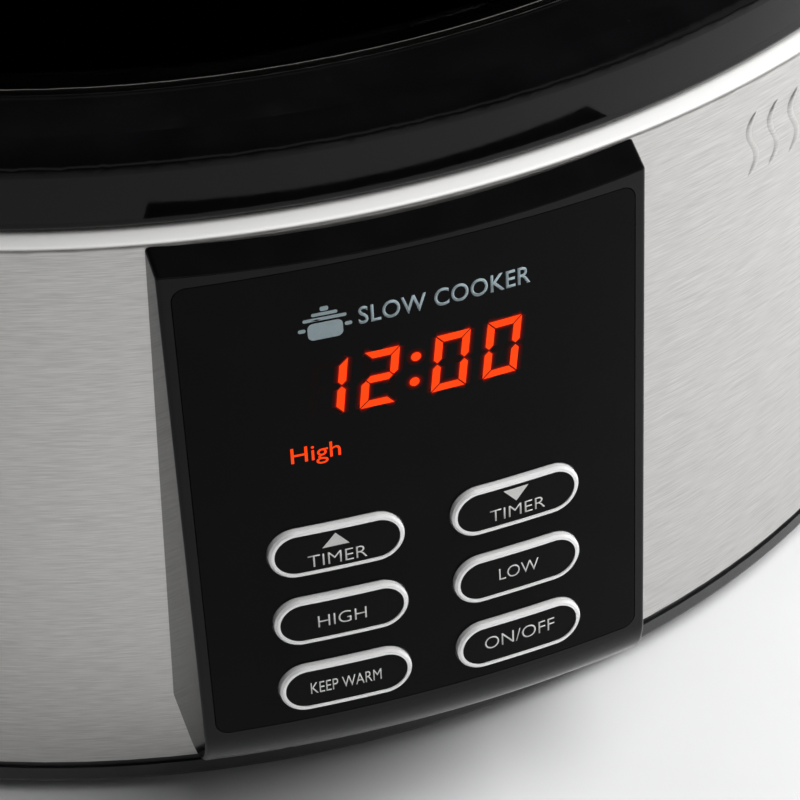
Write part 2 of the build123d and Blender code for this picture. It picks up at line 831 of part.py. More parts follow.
with BuildPart() as knob_screw:
    with BuildSketch(level(dome_top - glass_thickness - 3.4)):
        Circle(7)
    extrude(amount=2.6)
    fillet(knob_screw.edges().group_by(Axis.Z)[0], 1.2)
    with BuildSketch(level(dome_top - glass_thickness - 1)):
        Circle(2.0)
    extrude(amount=glass_thickness + 1 + 1.8 + 12)
    with BuildSketch(level(dome_top - glass_thickness - 3.4)):
        Rectangle(8, 1.2)
        Rectangle(1.2, 8)
    extrude(amount=1.2, mode=Mode.SUBTRACT)
save(knob_screw, "knob_screw")

vent_z = glass_edge + dome_rise - sag(cap_radius, vent_x) + glass_thickness
with BuildPart() as vent_grommet:
    with BuildSketch(Plane((vent_x, oval_y, vent_z - 6))):
        Circle(3.8)
    extrude(amount=8)
    with BuildSketch(Plane((vent_x, oval_y, vent_z + 1.2))):
        Circle(5.6)
    extrude(amount=1.6)
    fillet(vent_grommet.edges().group_by(Axis.Z)[-1], 0.6)
    with BuildSketch(Plane((vent_x, oval_y, vent_z - 7))):
        Circle(2.0)
    extrude(amount=12, mode=Mode.SUBTRACT)
save(vent_grommet, "vent_grommet")
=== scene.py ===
# %% [markdown]
# # A slow cooker, finished in Blender
#
# The solid parts of this cooker were made as separate pieces and packed with their joints. This
# lesson loads them as a fixed frame, gives every piece a finish built from shader nodes, prints the
# legends and the clock on the panel as thin films of real geometry, and sets up a small studio.
# Everything is in metres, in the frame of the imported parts: the cooker stands on z = 0, its control
# panel faces -Y, and +X is to the right of someone who reads the panel.

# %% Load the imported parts
import json
import math

import bmesh
import bpy
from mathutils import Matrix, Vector
from mathutils.bvhtree import BVHTree

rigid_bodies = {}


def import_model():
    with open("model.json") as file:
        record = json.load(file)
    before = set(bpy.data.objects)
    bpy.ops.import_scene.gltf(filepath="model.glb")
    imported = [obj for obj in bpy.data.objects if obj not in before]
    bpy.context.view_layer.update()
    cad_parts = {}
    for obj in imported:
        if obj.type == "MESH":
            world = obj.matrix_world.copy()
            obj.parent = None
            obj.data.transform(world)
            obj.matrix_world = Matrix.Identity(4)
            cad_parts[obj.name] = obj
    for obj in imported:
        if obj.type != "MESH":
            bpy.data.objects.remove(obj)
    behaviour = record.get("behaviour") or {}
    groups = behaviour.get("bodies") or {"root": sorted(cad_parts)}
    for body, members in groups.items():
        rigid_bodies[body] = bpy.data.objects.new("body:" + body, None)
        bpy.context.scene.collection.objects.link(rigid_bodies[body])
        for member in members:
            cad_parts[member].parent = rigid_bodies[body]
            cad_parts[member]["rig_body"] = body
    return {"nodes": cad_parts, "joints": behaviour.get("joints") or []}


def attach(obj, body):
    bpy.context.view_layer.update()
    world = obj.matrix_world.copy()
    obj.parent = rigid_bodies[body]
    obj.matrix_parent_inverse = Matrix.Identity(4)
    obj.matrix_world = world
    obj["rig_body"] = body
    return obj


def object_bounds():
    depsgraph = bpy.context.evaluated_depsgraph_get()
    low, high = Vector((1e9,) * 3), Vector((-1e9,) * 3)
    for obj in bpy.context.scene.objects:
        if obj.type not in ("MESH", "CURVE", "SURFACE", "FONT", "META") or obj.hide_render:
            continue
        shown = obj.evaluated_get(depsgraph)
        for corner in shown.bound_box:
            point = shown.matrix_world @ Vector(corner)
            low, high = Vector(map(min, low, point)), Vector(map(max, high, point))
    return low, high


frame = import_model()
nodes = frame["nodes"]
cad_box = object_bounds()
MM = 0.001
print(len(nodes), "parts, box in mm:", [[round(x / MM, 1) for x in corner] for corner in cad_box])

# %% [markdown]
# ## A bench for finishes
#
# A finish is a Principled shader with a few patterns wired to it. The helpers below keep each one to
# a few lines. Values that are the same all over a piece go straight on the shader's sockets, and
# only what varies over the surface is wired. Pattern sizes are real sizes in millimetres, because a
# finish looks right only when its grain has the right scale.

# %% Start a finish
SOCKETS = {
    "colour": "Base Color",
    "metal": "Metallic",
    "ior": "IOR",
    "shine": "Specular IOR Level",
    "coat": "Coat Weight",
    "coat_rough": "Coat Roughness",
    "stretch": "Anisotropic",
    "turn": "Anisotropic Rotation",
    "clear": "Transmission Weight",
    "glow": "Emission Color",
    "glow_power": "Emission Strength",
    "sheen": "Sheen Weight",
}


def start_finish(name, **look):
    """A new material; each word of look sets one socket of its shader."""
    paint = bpy.data.materials.new(name)
    paint.use_nodes = True
    shader = paint.node_tree.nodes["Principled BSDF"]
    for word, value in look.items():
        shader.inputs[SOCKETS[word]].default_value = value
    return paint


def shader_of(paint):
    return paint.node_tree.nodes["Principled BSDF"]


# %% Patterns
def add(paint, kind, **inputs):
    """A new node with some of its sockets set."""
    node = paint.node_tree.nodes.new("ShaderNode" + kind)
    for socket, value in inputs.items():
        node.inputs[socket].default_value = value
    return node


def wire(paint, output, socket):
    paint.node_tree.links.new(output, socket)


def ruler(paint, size, stretch=(1, 1, 1)):
    """The piece's own coordinates, counted in steps of size mm, longer where stretch is larger."""
    place = add(paint, "TexCoord")
    scale = add(paint, "Mapping", Scale=[1 / (size * MM * s) for s in stretch])
    wire(paint, place.outputs["Object"], scale.inputs["Vector"])
    return scale.outputs["Vector"]


def clouds(paint, size, stretch=(1, 1, 1), detail=3.0):
    """Soft noise from 0 to 1, with lumps of about size mm."""
    noise = add(paint, "TexNoise", Scale=1.0, Detail=detail)
    wire(paint, ruler(paint, size, stretch), noise.inputs["Vector"])
    return noise.outputs["Fac"]


def cells(paint, size, stretch=(1, 1, 1), output="Color"):
    """Patches of about size mm, each with its own value."""
    patches = add(paint, "TexVoronoi", Scale=1.0)
    wire(paint, ruler(paint, size, stretch), patches.inputs["Vector"])
    return patches.outputs[output]


def spread(paint, pattern, low, high, start=0.3, end=0.7):
    """A pattern's values from start to end, mapped to low to high."""
    span = add(paint, "MapRange")
    for socket, value in zip(("From Min", "From Max", "To Min", "To Max"), (start, end, low, high)):
        span.inputs[socket].default_value = value
    wire(paint, pattern, span.inputs["Value"])
    return span.outputs["Result"]


# %% A test of height
def above(paint, low, high):
    """0 below the height low and 1 above the height high, both in mm."""
    place = add(paint, "TexCoord")
    height = add(paint, "SeparateXYZ")
    wire(paint, place.outputs["Object"], height.inputs["Vector"])
    return spread(paint, height.outputs["Z"], 0.0, 1.0, low * MM, high * MM)


# %% What a pattern can do
def tint(paint, pattern, dark, pale):
    """Colours the piece from dark to pale along a pattern."""
    mix = add(paint, "ValToRGB")
    mix.color_ramp.elements[0].position = 0.3
    mix.color_ramp.elements[0].color = (*dark, 1)
    mix.color_ramp.elements[1].position = 0.7
    mix.color_ramp.elements[1].color = (*pale, 1)
    wire(paint, pattern, mix.inputs["Fac"])
    wire(paint, mix.outputs["Color"], shader_of(paint).inputs["Base Color"])


def polish(paint, pattern, low, high):
    """Varies how matt the surface is."""
    wire(paint, spread(paint, pattern, low, high), shader_of(paint).inputs["Roughness"])


def relief(paint, pattern, depth):
    """Raises the surface along a pattern, by depth mm; several reliefs add up."""
    bump = add(paint, "Bump", Distance=depth * MM)
    normal = shader_of(paint).inputs["Normal"]
    if normal.links:
        wire(paint, normal.links[0].from_socket, bump.inputs["Normal"])
    wire(paint, pattern, bump.inputs["Height"])
    wire(paint, bump.outputs["Normal"], normal)


# %% [markdown]
# ## Brushed stainless steel
#
# The outer shell is a strip of stainless steel, brushed along its length before it is bent round
# the cooker. The scratches are far longer than they are high, so each one spreads a reflection up
# and down but hardly sideways. An anisotropic shader does that spreading, and noise that is
# stretched along the strip draws the visible scratches, some faint, some deeper. The top edge is
# turned in to meet the crock. It is the same steel as the wall, but it carries a painted highlight:
# a height test on the piece's own coordinates makes it flat near-white and hardly metallic there.

# %% Brushed shell
STEEL = (0.71, 0.698, 0.68)
brushed_shell = start_finish("brushed_shell", stretch=0.8, turn=0.25)
fine_scratches = clouds(brushed_shell, 0.30, (22, 22, 1), 2.0)
long_scratches = clouds(brushed_shell, 0.5, (220, 220, 1), 3.0)
handling = clouds(brushed_shell, 60.0)
tint(brushed_shell, fine_scratches, [c * 0.78 for c in STEEL], STEEL)
polish(brushed_shell, long_scratches, 0.29, 0.33)
relief(brushed_shell, fine_scratches, 0.003)
relief(brushed_shell, long_scratches, 0.001)
relief(brushed_shell, handling, 0.015)
strip_direction = add(brushed_shell, "Tangent")
strip_direction.direction_type = "RADIAL"
strip_direction.axis = "Z"
wire(brushed_shell, strip_direction.outputs["Tangent"], shader_of(brushed_shell).inputs["Tangent"])

# %% Turned-in top edge, with a painted highlight
# Painted highlight: above this height the steel is coloured flat near-white and made almost
# non-metallic.
EDGE_LOW, EDGE_HIGH = 179.5, 179.9
EDGE_HIGHLIGHT_METAL = 0.1
EDGE_PAINTED_HIGHLIGHT = (0.95, 0.95, 0.94, 1)
shell_shader = shader_of(brushed_shell)
edge_highlight_zone = above(brushed_shell, EDGE_LOW, EDGE_HIGH)
edge_highlight_mix = add(brushed_shell, "MixRGB", Color2=EDGE_PAINTED_HIGHLIGHT)
wire(brushed_shell, edge_highlight_zone, edge_highlight_mix.inputs["Fac"])
wire(brushed_shell, shell_shader.inputs["Base Color"].links[0].from_socket, edge_highlight_mix.inputs["Color1"])
wire(brushed_shell, edge_highlight_mix.outputs["Color"], shell_shader.inputs["Base Color"])
edge_highlight_metal = spread(brushed_shell, edge_highlight_zone, 1.0, EDGE_HIGHLIGHT_METAL, 0.0, 1.0)
wire(brushed_shell, edge_highlight_metal, shell_shader.inputs["Metallic"])
print("brushed shell:", len(brushed_shell.node_tree.nodes), "nodes")

# %% [markdown]
# ## Other bright metals
#
# The band round the lid is thin polished steel. The lip rolled under it carries a painted highlight:
# it is made almost non-metallic, so its pale colour shows as one thin pale line in any light. The
# screws and the sheet parts are zinc plated, which shows as small patches of slightly different
# grey. The well and the sensor cup are aluminised sheet, and the heater's face is crinkled foil.

# %% Plated and polished metals
def plated(name, colour, patch, low, high):
    """Plated sheet: patches of crystal, each a little brighter or duller than the next."""
    metal = start_finish(name, metal=1.0)
    crystal = cells(metal, patch)
    tint(metal, crystal, [c * 0.8 for c in colour], colour)
    polish(metal, crystal, low, high)
    relief(metal, clouds(metal, patch / 4), 0.004)
    return metal


plated_steel = plated("plated_steel", (0.55, 0.56, 0.56), 5.0, 0.34, 0.5)
screw_steel = plated("screw_steel", (0.5, 0.5, 0.5), 1.2, 0.24, 0.38)
well_metal = plated("well_metal", (0.5, 0.5, 0.5), 9.0, 0.3, 0.46)
heater_foil = plated("heater_foil", (0.65, 0.65, 0.66), 3.0, 0.2, 0.34)
relief(heater_foil, cells(heater_foil, 6.0, output="Distance"), 0.25)

bright_band = start_finish("bright_band")
band_lines = clouds(bright_band, 0.3, (90, 90, 1))
tint(bright_band, band_lines, (0.74, 0.72, 0.68), (0.86, 0.84, 0.80))
polish(bright_band, band_lines, 0.14, 0.24)
relief(bright_band, band_lines, 0.003)
# Painted highlight: below this height the band's pale colour is made almost non-metallic, so the lip
# shows as a pale line.
LIP_LOW, LIP_HIGH = 195.4, 195.8
LIP_HIGHLIGHT_METAL = 0.05
over_lip = above(bright_band, LIP_LOW, LIP_HIGH)
lip_painted_highlight = spread(bright_band, over_lip, LIP_HIGHLIGHT_METAL, 1.0, 0.0, 1.0)
wire(bright_band, lip_painted_highlight, shader_of(bright_band).inputs["Metallic"])

# %% [markdown]
# ## The silver key rims
#
# Each key is a black cap in a bevelled rim. The rim is bright plated plastic, a little softer than
# a polished metal, so its bevels turn pale where they face the light.

# %% Key rims
key_chrome = start_finish("key_chrome", metal=0.3)
plating = clouds(key_chrome, 0.3)
tint(key_chrome, plating, (0.91, 0.91, 0.91), (0.94, 0.94, 0.94))
polish(key_chrome, plating, 0.28, 0.30)

# %% [markdown]
# ## Gloss black
#
# Four pieces are gloss black and must still look different. The panel is a smooth sheet with a
# faint but sharp reflection. The pod behind it is a moulding, with the slight waviness of moulded
# plastic. The key caps are a little softer. The crock is glazed stoneware: the glaze is thick and
# clear, it pulls into shallow dimples as it cools, and a few pinholes stay in it.

# %% Panel, pod and key caps
gloss_panel = start_finish("gloss_panel", shine=0.06)
wiping = clouds(gloss_panel, 14.0)
tint(gloss_panel, wiping, (0.0022, 0.0022, 0.0025), (0.0030, 0.0030, 0.0033))
polish(gloss_panel, wiping, 0.045, 0.085)

gloss_pod = start_finish("gloss_pod", shine=0.18)
moulding = clouds(gloss_pod, 9.0)
tint(gloss_pod, moulding, (0.0030, 0.0030, 0.0033), (0.0040, 0.0040, 0.0044))
polish(gloss_pod, moulding, 0.08, 0.14)
relief(gloss_pod, moulding, 0.006)

key_black = start_finish("key_black", shine=0.06)
cap_skin = clouds(key_black, 0.5)
tint(key_black, cap_skin, (0.0035, 0.0035, 0.0034), (0.0048, 0.0048, 0.0046))
polish(key_black, cap_skin, 0.14, 0.2)
relief(key_black, cap_skin, 0.002)

# %% Glazed stoneware
black_glaze = start_finish("black_glaze", shine=0.18)
glaze_flow = clouds(black_glaze, 16.0, (1, 1, 1.6))
dimples = clouds(black_glaze, 2.2)
pinholes = cells(black_glaze, 7.0, output="Distance")
tint(black_glaze, glaze_flow, (0.0022, 0.0021, 0.0024), (0.0036, 0.0034, 0.0038))
polish(black_glaze, dimples, 0.07, 0.12)
relief(black_glaze, glaze_flow, 0.015)
relief(black_glaze, dimples, 0.003)
relief(black_glaze, spread(black_glaze, pinholes, 0.0, 1.0, 0.0, 0.05), 0.03)

# %% [markdown]
# ## Textured plastics and rubber
#
# The base ring, the handles and the cord gland are moulded in a tool whose steel was etched, so
# their black skin is a fine leathery grain that hides scuffs. The feet are matt rubber with a bloom
# of pale dust. One helper makes them all, from a colour, a grain size and how matt each one is.

# %% Moulded skins
def moulded(name, dark, pale, grain, depth, low, high):
    """A moulded skin: an etched grain of grain mm, depth mm deep."""
    skin = start_finish(name)
    etched = clouds(skin, grain, detail=2.0)
    tint(skin, clouds(skin, grain * 12), dark, pale)
    polish(skin, etched, low, high)
    relief(skin, etched, depth)
    return skin


black_plastic = moulded("black_plastic", (0.011, 0.011, 0.012), (0.016, 0.016, 0.017), 0.45, 0.02,
                        0.3, 0.42)
knob_plastic = moulded("knob_plastic", (0.011, 0.011, 0.011), (0.015, 0.015, 0.015), 0.3, 0.008,
                       0.22, 0.32)
foot_rubber = moulded("foot_rubber", (0.025, 0.025, 0.025), (0.05, 0.05, 0.048), 0.8, 0.05, 0.65, 0.85)
white_plastic = moulded("white_plastic", (0.72, 0.72, 0.69), (0.8, 0.8, 0.78), 0.4, 0.008, 0.3, 0.42)
blue_plastic = moulded("blue_plastic", (0.02, 0.09, 0.33), (0.03, 0.12, 0.4), 0.3, 0.004, 0.16, 0.26)
yellow_plastic = moulded("yellow_plastic", (0.66, 0.5, 0.07), (0.75, 0.6, 0.1), 0.3, 0.004, 0.2, 0.3)
fuse_ceramic = moulded("fuse_ceramic", (0.76, 0.75, 0.7), (0.85, 0.84, 0.8), 0.35, 0.02, 0.6, 0.8)
wire_sleeve = moulded("wire_sleeve", (0.5, 0.5, 0.48), (0.6, 0.6, 0.58), 0.25, 0.01, 0.5, 0.62)
display_window = moulded("display_window", (0.03, 0.005, 0.004), (0.05, 0.01, 0.008), 0.5, 0.002,
                         0.1, 0.18)

# %% [markdown]
# ## Inner materials
#
# The parts inside can only be seen when the cooker is opened, but each is still made of something.
# The felt is a mat of needled glass fibre, the boards carry copper tracks under green lacquer, the
# transformer is a stack of varnished iron sheets, and the ribbon cable is a row of fine wires.

# %% Felt, board, iron and ribbon
glass_fibre = start_finish("glass_fibre", sheen=0.4)
fibres = clouds(glass_fibre, 0.5, (6, 6, 1), 5.0)
tint(glass_fibre, fibres, (0.66, 0.63, 0.54), (0.88, 0.86, 0.8))
polish(glass_fibre, fibres, 0.85, 0.98)
relief(glass_fibre, fibres, 0.3)
relief(glass_fibre, cells(glass_fibre, 9.0, output="Distance"), 0.5)


def striped(name, dark, pale, pitch, axis, depth, low, high):
    """Fine parallel stripes, pitch mm apart along one axis."""
    stack = start_finish(name)
    bands = add(stack, "TexWave", Scale=0.5, Distortion=0.15)
    bands.bands_direction = axis
    wire(stack, ruler(stack, pitch * math.pi / 10), bands.inputs["Vector"])
    tint(stack, bands.outputs["Fac"], dark, pale)
    polish(stack, clouds(stack, 1.5), low, high)
    relief(stack, bands.outputs["Fac"], depth)
    return stack


dark_iron = striped("dark_iron", (0.03, 0.03, 0.03), (0.09, 0.085, 0.08), 0.5, "Y", 0.05, 0.3, 0.45)
ribbon_grey = striped("ribbon_grey", (0.32, 0.32, 0.32), (0.5, 0.5, 0.5), 1.27, "X", 0.25, 0.4, 0.5)

circuit_board = start_finish("circuit_board", coat=0.3, coat_rough=0.12)
tracks = cells(circuit_board, 3.2, (1, 1, 1), "Distance")
tint(circuit_board, tracks, (0.012, 0.09, 0.03), (0.05, 0.2, 0.08))
polish(circuit_board, tracks, 0.24, 0.34)
relief(circuit_board, tracks, 0.03)

# %% [markdown]
# ## Glass and inks
#
# The lid is clear tempered glass, with a trace of green in its depth and a faint film of use on it.
# The legends are pale grey ink. The clock figures shine through the dark panel: the lit bars are a
# hot orange, and the bars that are off can just be seen.

# %% Lid glass
clear_glass = start_finish("clear_glass", colour=(0.93, 0.97, 0.95, 1), clear=1.0, ior=1.5)
film = clouds(clear_glass, 20.0)
polish(clear_glass, film, 0.0, 0.03)
relief(clear_glass, clouds(clear_glass, 35.0), 0.02)


# %% Inks and lit bars
def ink(name, dark, pale, low, high, **look):
    """A printed film: a thin skin of colour with a slightly uneven edge to its gloss."""
    film = start_finish(name, **look)
    screen = clouds(film, 0.18, detail=2.0)
    tint(film, screen, dark, pale)
    polish(film, screen, low, high)
    return film


legend_grey = ink("legend_grey", (0.62, 0.62, 0.61), (0.72, 0.72, 0.71), 0.35, 0.5)
title_grey = ink("title_grey", (0.26, 0.33, 0.36), (0.31, 0.39, 0.42), 0.35, 0.5)
lit_orange = ink("lit_orange", (0.30, 0.006, 0.0), (0.34, 0.008, 0.0), 0.3, 0.4, shine=0.05,
                 glow=(1.0, 0.056, 0.004, 1), glow_power=1.1)
unlit_red = ink("unlit_red", (0.0045, 0.0015, 0.0015), (0.006, 0.002, 0.002), 0.1, 0.2, shine=0.06)
print(len(bpy.data.materials), "finishes so far")

# %% [markdown]
# ## Dressing the parts
#
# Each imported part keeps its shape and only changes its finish. One table says which finish each part
# wears, so nothing is missed: the loop stops with an error if a part has none.

# %% Which part wears what
WEARS = {
    foot_rubber: "rubber_feet",
    plated_steel: "base_plate heater_strap",
    black_plastic: "base_skirt cord_gland left_handle right_handle key_switches",
    screw_steel: "base_screws tie_bolt tie_nut sensor_spring handle_screws pod_screws knob_screw",
    brushed_shell: "outer_wrap",
    well_metal: "heating_well sensor_cup",
    heater_foil: "heater_band",
    glass_fibre: "insulation_blanket",
    fuse_ceramic: "thermal_fuse",
    white_plastic: "board_standoffs terminal_block",
    circuit_board: "power_board control_board",
    blue_plastic: "relay",
    dark_iron: "transformer",
    yellow_plastic: "capacitor",
    wire_sleeve: "wire_harness",
    gloss_panel: "faceplate",
    gloss_pod: "pod_frame",
    display_window: "display_module",
    ribbon_grey: "ribbon_cable",
    black_glaze: "crock",
    clear_glass: "lid_glass",
    bright_band: "lid_band knob_washer vent_grommet",
    knob_plastic: "lid_knob",
}
KEYS = ("timer_up", "timer_down", "high", "low", "keep_warm", "on_off")
finish_of = {part: paint for paint, parts in WEARS.items() for part in parts.split()}
for key in KEYS:
    finish_of[key + "_rim"] = key_chrome
    finish_of[key + "_cap"] = key_black


# %% Put the finishes on
def wear(obj, paint):
    """The whole piece in one finish."""
    obj.data.materials.clear()
    obj.data.materials.append(paint)


for part, obj in nodes.items():
    wear(obj, finish_of[part])
print("dressed", len(nodes), "parts")

# %% [markdown]
# ## Finding places on the panel
#
# The panel leans back and bows forward a little, so a legend can't be placed by eye. Its lean comes
# from the direction in which the keys travel, and its top edge and its front from its own points.
# The top is counted from the pod's opening, which is a hairline seam wider than the plate. A place
# on it is then two plain numbers: how far right of the middle, and how far below the top.

# %% The panel's own directions
push = Vector(next(joint["axis"] for joint in frame["joints"] if joint["name"] == "high_press"))
outward = -push.normalized()
across = Vector((1, 0, 0))
upward = outward.cross(across)
panel_points = [v.co for v in nodes["faceplate"].data.vertices]
PLATE_SEAM = 0.2 * MM
panel_top = max(p.dot(upward) for p in panel_points) + PLATE_SEAM
panel_front = max(p.dot(outward) for p in panel_points)
panel_corner = upward * panel_top + outward * panel_front
print("panel top and front, mm:", round(panel_top / MM, 2), round(panel_front / MM, 2))


def on_panel(right, below, lift=0.0):
    """A point in front of the panel; right, below and lift are in mm."""
    return panel_corner + across * right * MM - upward * below * MM + outward * lift * MM


# %% [markdown]
# ## Printing on a curved face
#
# Ink is a film a few hundredths of a millimetre thick. Each legend starts as a flat drawing in
# millimetres. Every corner of it is then sent straight at the part along the panel's direction, it
# stops where it meets the surface, and the film is given its thickness. This follows any bow or
# bevel of the part underneath, and the film moves with the key when it is pressed.

# %% Flat drawings
def flat_drawing(outlines):
    """A flat mesh of filled outlines, each a list of (x, y) corners in mm."""
    sheet = bmesh.new()
    for outline in outlines:
        sheet.faces.new([sheet.verts.new((x, y, 0)) for x, y in outline])
    return sheet


def rounded_bar(left, low, right, high, radius, steps=6):
    """The outline of a rectangle with round corners."""
    outline = []
    for turn, (x, y) in enumerate(
        ((right - radius, high - radius), (left + radius, high - radius),
         (left + radius, low + radius), (right - radius, low + radius))
    ):
        for step in range(steps + 1):
            angle = math.radians(90 * turn + 90 * step / steps)
            outline.append((x + radius * math.cos(angle), y + radius * math.sin(angle)))
    return outline


def disc(x, y, radius, steps=28):
    """The outline of a round dot."""
    return [
        (x + radius * math.cos(2 * math.pi * i / steps), y + radius * math.sin(2 * math.pi * i / steps))
        for i in range(steps)
    ]


# %% Lettering
def type_set(words, thin, spacing=1.0):
    """The words as a flat mesh in Blender's own plain letters; thin pares the strokes down."""
    letters = bpy.data.curves.new("letters", "FONT")
    letters.body = words
    letters.offset = -thin
    letters.space_character = spacing
    letters.resolution_u = 6
    holder = bpy.data.objects.new("letters", letters)
    bpy.context.scene.collection.objects.link(holder)
    bpy.context.view_layer.update()
    mesh = bpy.data.meshes.new_from_object(holder.evaluated_get(bpy.context.evaluated_depsgraph_get()))
    bpy.data.objects.remove(holder)
    sheet = bmesh.new()
    sheet.from_mesh(mesh)
    return sheet


def reach(sheet, axis):
    """The lowest and highest x or y in a flat drawing."""
    values = [v.co[axis] for v in sheet.verts]
    return min(values), max(values)


def lettering(words, left, right, base, cap, thin=0.006, spacing=1.0):
    """Words between left and right, standing on base, with capitals cap mm tall."""
    low, high = reach(type_set("H", thin), 1)
    sheet = type_set(words, thin, spacing)
    first, last = reach(sheet, 0)
    for v in sheet.verts:
        v.co.x = left + (v.co.x - first) * (right - left) / (last - first)
        v.co.y = base + (v.co.y - low) * cap / (high - low)
    return sheet


# %% Laying a drawing on a part
FILM = 0.03
STAND_OFF = 20
SAME_POINT = 1e-7


def surface_of(part):
    """A search tree of a part's faces."""
    mesh = nodes[part].data
    return BVHTree.FromPolygons([v.co for v in mesh.vertices], [p.vertices for p in mesh.polygons])


def lay_on(name, sheet, part, paint, film=FILM):
    """Lays a flat drawing on a part as a film, and lets it ride with the part's body."""
    surface = surface_of(part)
    for v in sheet.verts:
        start = on_panel(v.co.x, -v.co.y, STAND_OFF)
        hit = surface.ray_cast(start, -outward)[0]
        if hit is None:  # the line slipped between two faces
            hit = surface.find_nearest(on_panel(v.co.x, -v.co.y))[0]
        v.co = hit + outward * film * MM
    bmesh.ops.remove_doubles(sheet, verts=sheet.verts, dist=SAME_POINT)
    bmesh.ops.recalc_face_normals(sheet, faces=sheet.faces)
    if sum(f.normal.dot(outward) * f.calc_area() for f in sheet.faces) < 0:
        bmesh.ops.reverse_faces(sheet, faces=sheet.faces)
    bmesh.ops.solidify(sheet, geom=sheet.faces, thickness=film * MM)
    mesh = bpy.data.meshes.new(name)
    sheet.to_mesh(mesh)
    sheet.free()
    obj = bpy.data.objects.new(name, mesh)
    bpy.context.scene.collection.objects.link(obj)
    wear(obj, paint)
    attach(obj, nodes[part]["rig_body"])


# %% [markdown]
# ## The key legends
#
# The six keys say what they do in thin plain capitals, and the two timer keys carry a triangle that
# points up or down. Each legend is given by its left and right ends, the line it stands on, counted
# down from the panel's top, and the height of its capitals, all in mm.

# %% Words on the keys
LEGENDS = {
    "timer_up": ("TIMER", -27.6, -14.3, 77.3, 3.2, 0.010),
    "timer_down": ("TIMER", 14.4, 27.7, 76.8, 3.1, 0.010),
    "high": ("HIGH", -26.4, -15.3, 94.7, 3.2, 0.010),
    "low": ("LOW", 16.1, 25.8, 94.0, 3.2, 0.010),
    "keep_warm": ("KEEP WARM", -29.2, -12.8, 113.7, 3.15, 0.004),
    "on_off": ("ON/OFF", 12.1, 29.4, 113.3, 3.4, 0.010),
}
for key, (words, left, right, base, cap, thin) in LEGENDS.items():
    legend = lettering(words, left, right, -base, cap, thin)
    lay_on("legend_" + key, legend, key + "_cap", legend_grey)

# %% Triangles on the timer keys
up_arrow = [(-24.2, -72.6), (-18.1, -72.5), (-21.1, -69.0)]
down_arrow = [(17.8, -69.2), (20.8, -72.7), (23.8, -69.1)]
lay_on("arrow_up", flat_drawing([up_arrow]), "timer_up_cap", legend_grey)
lay_on("arrow_down", flat_drawing([down_arrow]), "timer_down_cap", legend_grey)
print("legends printed on", len(LEGENDS), "keys")

# %% [markdown]
# ## The title above the clock
#
# A plain title in a blue-grey ink says what the appliance is, beside a small drawing of a pot with
# its lid. Both are made from simple outlines.

# %% Title and pot drawing
title = lettering("SLOW COOKER", -12.6, 25.8, -16.4, 4.3, -0.012, 1.05)
lay_on("title_words", title, "faceplate", title_grey)
pot = [
    rounded_bar(-23.6, -18.2, -16.0, -14.0, 1.3),
    rounded_bar(-24.5, -13.5, -15.1, -12.7, 0.38),
    rounded_bar(-22.6, -12.3, -17.0, -11.5, 0.38),
    rounded_bar(-20.7, -11.2, -18.9, -10.1, 0.4),
    rounded_bar(-25.6, -15.9, -24.0, -15.0, 0.4),
    rounded_bar(-15.6, -15.9, -14.0, -15.0, 0.4),
]
lay_on("title_pot", flat_drawing(pot), "faceplate", title_grey)

# %% [markdown]
# ## The clock
#
# A clock figure is seven bars that share mitred corners and lean to the right. Each bar is an
# outline, drawn once for an upright figure, then leaned and moved into place. The lit bars and the
# bars that are off go into separate pieces, because they have different finishes.

# %% Seven bars
FIGURE = (7.9, 14.2)
BAR = 1.75
GAP = 0.22
LEAN = 0.12


def flip_x(bar):
    return [(-x, y) for x, y in bar]


def flip_y(bar):
    return [(x, -y) for x, y in bar]


def figure_bars():
    """The seven bars a to g of an upright figure centred on (0, 0)."""
    w, h = FIGURE[0] / 2, FIGURE[1] / 2
    top = [(-w + GAP, h), (w - GAP, h), (w - BAR - GAP, h - BAR), (-w + BAR + GAP, h - BAR)]
    upper_right = [(w, h - GAP), (w, BAR / 2 + GAP), (w - BAR / 2, GAP), (w - BAR, BAR / 2 + GAP),
                   (w - BAR, h - BAR - GAP)]
    middle = [(-w + BAR / 2 + GAP, 0), (-w + BAR + GAP / 2, BAR / 2), (w - BAR - GAP / 2, BAR / 2),
              (w - BAR / 2 - GAP, 0), (w - BAR - GAP / 2, -BAR / 2), (-w + BAR + GAP / 2, -BAR / 2)]
    return {
        "a": top, "b": upper_right, "c": flip_y(upper_right), "d": flip_y(top),
        "e": flip_x(flip_y(upper_right)), "f": flip_x(upper_right), "g": middle,
    }


def leaned(bar, x, y):
    return [(x + bx + LEAN * by, y + by) for bx, by in bar]


# %% Twelve o'clock
CLOCK = (("bc", -20.2), ("abged", -8.8), ("abcdef", 7.1), ("abcdef", 18.9))
CLOCK_DOWN = -31.1
COLON = ((-0.6, 3.25), (-1.2, -3.15))
DOT = 1.1
lit_bars, unlit_bars = [], []
for lit, x in CLOCK:
    for bar, outline in figure_bars().items():
        (lit_bars if bar in lit else unlit_bars).append(leaned(outline, x, CLOCK_DOWN))
lit_bars += [disc(x, CLOCK_DOWN + up, DOT) for x, up in COLON]
lay_on("clock_lit", flat_drawing(lit_bars), "faceplate", lit_orange)
UNLIT_FILM = 0.012
lay_on("clock_unlit", flat_drawing(unlit_bars), "faceplate", unlit_red, UNLIT_FILM)
setting = lettering("High", -29.2, -18.3, -49.1, 4.0, -0.002)
lay_on("clock_setting", setting, "faceplate", lit_orange)
print(len(lit_bars), "lit shapes and", len(unlit_bars), "bars that are off")

# %% [markdown]
# ## The glow round the figures
#
# Light leaks sideways in the dark panel, so a red haze hugs each lit bar. It is a second, wider
# film under the figures. The haze is strongest at the bars and fades within a millimetre, so it is
# drawn as three nested outlines, each larger, dimmer and thinner than the one inside.

